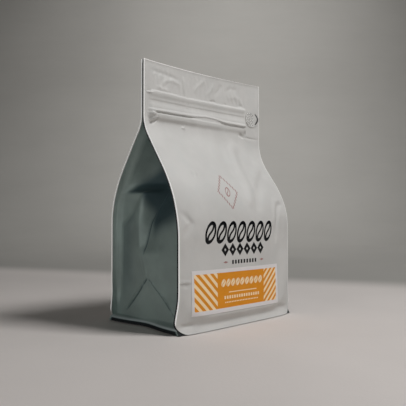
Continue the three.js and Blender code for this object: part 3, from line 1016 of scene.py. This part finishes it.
def label_surface(name, colours):
    """Coated paper: bare border, orange field, slanting stripes at both ends, and a plain cream print."""
    shader = Shader(name)
    u, v, _ = shader.axes(shader.node("ShaderNodeUVMap", {"uv_map": "flat"}), 1.0)
    x = (u - 0.5) * LABEL.width
    z = (v - 0.5) * LABEL.height
    left = stripes(x + z, STRIPE_PITCH[0]) * x.ramp(0.2, -0.2)
    right = stripes(x - z, STRIPE_PITCH[1]) * x.ramp(-0.2, 0.2)
    orange = x.between(*LABEL_FIELD, LABEL_PRINT.soft).most(left, right)
    cream = leaning_beans(x, z, LABEL_BEANS, solid=True).most(
        rectangle(x, z, LABEL_RULE), dashes(x, z, LABEL_DASHES), dashes(x, z, LABEL_SMALL)
    )
    tone = shader.noise(0.008)
    field = shader.blend(scaled(colours.label_field, 0.94), scaled(colours.label_field, 1.06), tone)
    inner = shader.blend(tuple(colours.label_cream), field, orange * (1 - cream))
    colour = shader.blend(tuple(colours.label_border), inner, rectangle(x, z, LABEL_PRINT))
    normal = shader.bump(shader.noise(0.0005, 2.0), 0.00001)
    normal = shader.bump(shader.noise(0.01, 2.0), 0.0002, normal)
    return shader.surface(Base_Color=colour, Roughness=0.5 + tone * 0.1, IOR=1.45, Normal=normal)


def dress(thing, material, slot, *nodes):
    """Gives a piece its material, hides the solids that it stands for, and puts it on the body it rides on.
    Its slot is not used.
    """
    thing.data.materials.append(material)
    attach(thing, BODY)
    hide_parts(*nodes)


class BAG_OT_front_film(bpy.types.Operator):
    """Makes the printed front film with the zipper's ridges pressed through it"""

    bl_idname = "bag.front_film"
    bl_label = "Front film"

    def execute(self, context):
        form, colours = context.scene.bag_form, context.scene.bag_colours
        levels = stepped(0, (12, 16), (60, 44), (150, 84), (182, 80), (HEIGHT, 20))
        film = film_sheet("front_film", FRONT, form.panel_columns, levels)
        material = white_surface("printed_film", colours, form, ior=1.4, printed=True)
        dress(film, material, "white_film", "front_panel", "zipper_strip")
        return {"FINISHED"}


class BAG_OT_back_film(bpy.types.Operator):
    """Makes the plain back film"""

    bl_idname = "bag.back_film"
    bl_label = "Back film"

    def execute(self, context):
        form, colours = context.scene.bag_form, context.scene.bag_colours
        levels = stepped(0, (12, 12), (60, 36), (150, 64), (HEIGHT, 34))
        film = film_sheet("back_film", BACK, form.panel_columns // 4 * 3, levels)
        dress(film, white_surface("back_white_film", colours, form), "white_film", "back_panel")
        return {"FINISHED"}


class BAG_OT_pouch_body(bpy.types.Operator):
    """Makes the dark pouch between the panels: both creased gussets, their fins and the base"""

    bl_idname = "bag.pouch_body"
    bl_label = "Pouch body"

    def execute(self, context):
        form, colours = context.scene.bag_form, context.scene.bag_colours
        body = lattice_shell("pouch_body", *pouch_lattice(between=24))
        dress(body, dark_surface("dark_film", colours, form), "dark_film", "gusseted_body")
        return {"FINISHED"}


class BAG_OT_label(bpy.types.Operator):
    """Makes the paper label on the front film"""

    bl_idname = "bag.label"
    bl_label = "Label"

    def execute(self, context):
        label = label_sheet("label_paper")
        dress(label, label_surface("label_print", context.scene.bag_colours), "label_paper", "label")
        return {"FINISHED"}


class BAG_OT_tear_tab(bpy.types.Operator):
    """Makes the round tear tab at the end of the zipper"""

    bl_idname = "bag.tear_tab"
    bl_label = "Tear tab"

    def execute(self, context):
        form, colours = context.scene.bag_form, context.scene.bag_colours
        tab = tab_sheet("tear_tab")
        dress(tab, white_surface("tab_film", colours, form, TAB_PAINTED_SHADOW, 0.0), "white_film", "pull_tab")
        return {"FINISHED"}


# Camera at the photograph's viewing angle, in metres and degrees
CAMERA_PLACE = Vector((-0.3053, -0.3217, 0.084))
CAMERA_YAW = 43.46
CAMERA_PITCH = 1.22

# Sweep behind the bag: distance to its foot, radius, height of the wall, and half its width, in metres
SWEEP = Sizes(foot=0.95, radius=0.6, wall=3.0, near=3.0, half_width=4.0)
PALE_EDGE = Sizes(normal=(0.893, 0.449), distance=0.265, soft=0.05)  # where the pale floor ends
SWEEP_SHADE = (0.16, 0.15, 0.14)  # its darker mottle

# Softboxes: where each stands and faces, its width and height, and the angle that it spreads over
KEY = Sizes(place=(0.2397, -0.4741, 0.8876), target=(0.0, 0.0, 0.1), size=(0.25, 0.25), spread=180)
WASH = Sizes(place=(0.52, 0.28, 1.25), target=(1.13, 1.06, 0.28), size=(0.8, 0.8), spread=110)
FILL = Sizes(place=(-1.15, 0.0, 0.3), target=(0.0, 0.0, 0.08), size=(0.9, 0.4), spread=180)
SIDE = Sizes(place=(-0.82, -0.72, 0.1), target=(0.0, 0.0, 0.1), size=(0.35, 0.18), spread=180)


def view_axes():
    """Forward and rightward directions of the camera on the floor: sine and cosine of its yaw."""
    yaw = math.radians(CAMERA_YAW)
    return np.array([math.sin(yaw), math.cos(yaw)]), np.array([math.cos(yaw), -math.sin(yaw)])


def sweep_mesh():
    """Floor, quarter-round and wall in one sheet: a profile of distance and height, carried sideways."""
    angle = np.linspace(0, math.pi / 2, 33)
    near = stepped(-SWEEP.near, (-0.6, 6), (SWEEP.foot, 24))[:-1]
    curve = SWEEP.foot + SWEEP.radius * np.sin(angle)
    distance = np.concatenate([near, curve, [SWEEP.foot + SWEEP.radius]])
    height = np.concatenate([np.zeros(len(near)), SWEEP.radius * (1 - np.cos(angle)), [SWEEP.wall]])
    forward, right = view_axes()
    sideways = np.linspace(-SWEEP.half_width, SWEEP.half_width, 33)
    plan = distance[:, None, None] * forward + sideways[None, :, None] * right
    points = np.concatenate([plan, np.repeat(height[:, None, None], len(sideways), 1)], -1)
    number = np.arange(points.shape[0] * points.shape[1]).reshape(points.shape[:2])
    return new_mesh("studio_sweep", points.reshape(-1, 3), cell_quads(number)[:, ::-1])


def sweep_surface(stage):
    """Pale floor that turns to the backdrop's grey past a soft line, both faintly mottled."""
    shader = Shader("studio_paper")
    x, y, _ = shader.axes(shader.place, 1.0)
    past = x * PALE_EDGE.normal[0] + y * PALE_EDGE.normal[1] - PALE_EDGE.distance
    far = past.ramp(-PALE_EDGE.soft, PALE_EDGE.soft)
    colour = shader.blend(tuple(stage.floor_colour), tuple(stage.backdrop_colour), far)
    streaks = shader.noise(0.2, 6.0, 0.65, squeeze=(1.0, 1.0, 5.0))
    patches = shader.noise(0.22)
    shade = streaks.ramp(0.25, 0.8) * 0.06 + patches.ramp(0.3, 0.75) * 0.07
    normal = shader.bump(shader.noise(0.002), 0.0001)
    return shader.surface(Base_Color=shader.blend(colour, SWEEP_SHADE, shade), Roughness=0.75, Normal=normal)


def aim(thing, place, direction):
    """Stands a lamp or camera at a place, looking along a direction."""
    thing.location = place
    thing.rotation_euler = direction.to_track_quat("-Z", "Y").to_euler()
    bpy.context.scene.collection.objects.link(thing)


def softbox(name, box, power):
    """A white area light that the camera doesn't see."""
    light = bpy.data.lights.new(name, "AREA")
    light.shape = "RECTANGLE"
    light.size, light.size_y = box.size
    light.energy = power
    light.spread = math.radians(box.spread)
    thing = bpy.data.objects.new(name, light)
    thing.visible_camera = False
    aim(thing, box.place, Vector(box.target) - Vector(box.place))


class BAG_OT_stage(bpy.types.Operator):
    """Makes the floor, the backdrop, the lights and the camera"""

    bl_idname = "bag.stage"
    bl_label = "Stage"

    def execute(self, context):
        stage = context.scene.bag_stage
        sweep = sweep_mesh()
        sweep.data.materials.append(sweep_surface(stage))
        softbox("key_softbox", KEY, stage.key_power)
        softbox("backdrop_wash", WASH, stage.wash_power)
        softbox("soft_fill", FILL, stage.fill_power)
        softbox("side_glow", SIDE, stage.side_power)

        world = bpy.data.worlds.new("studio_room")
        world.use_nodes = True
        background = world.node_tree.nodes["Background"]
        background.inputs["Color"].default_value = (*stage.room_colour, 1.0)
        background.inputs["Strength"].default_value = 1.0
        context.scene.world = world
        context.scene.view_settings.view_transform = "Standard"

        lens = bpy.data.cameras.new("photo_camera")
        lens.lens = stage.lens
        lens.sensor_width = 36.0
        lens.clip_start = 0.01
        camera = bpy.data.objects.new("photo_camera", lens)
        forward, _ = view_axes()
        pitch = math.radians(CAMERA_PITCH)
        aim(camera, CAMERA_PLACE, Vector((*(forward * math.cos(pitch)), math.sin(pitch))))
        context.scene.camera = camera
        return {"FINISHED"}


class BAG_PT_panel(bpy.types.Panel):
    """Lists the settings and the steps that make the bag"""

    bl_label = "Coffee bag"
    bl_idname = "BAG_PT_panel"
    bl_space_type = "VIEW_3D"
    bl_region_type = "UI"
    bl_category = "Coffee bag"

    def draw(self, context):
        for group, kind in GROUPS.items():
            box = self.layout.box()
            for name in kind.__annotations__:
                box.prop(getattr(context.scene, group), name)
        for operator in OPERATORS:
            self.layout.operator(operator.bl_idname)


OPERATORS = (
    BAG_OT_front_film,
    BAG_OT_back_film,
    BAG_OT_pouch_body,
    BAG_OT_label,
    BAG_OT_tear_tab,
    BAG_OT_stage,
)
GROUPS = {"bag_form": BagForm, "bag_colours": BagColours, "bag_stage": BagStage}
CLASSES = (*GROUPS.values(), *OPERATORS, BAG_PT_panel)


def register():
    for cls in CLASSES:
        bpy.utils.register_class(cls)
    for group, kind in GROUPS.items():
        setattr(bpy.types.Scene, group, PointerProperty(type=kind))


def unregister():
    for group in GROUPS:
        delattr(bpy.types.Scene, group)
    for cls in reversed(CLASSES):
        bpy.utils.unregister_class(cls)


def main():
    """Makes every piece and the stage."""
    register()
    bpy.ops.bag.front_film()
    bpy.ops.bag.back_film()
    bpy.ops.bag.pouch_body()
    bpy.ops.bag.label()
    bpy.ops.bag.tear_tab()
    bpy.ops.bag.stage()


if __name__ == "__main__":
    main()
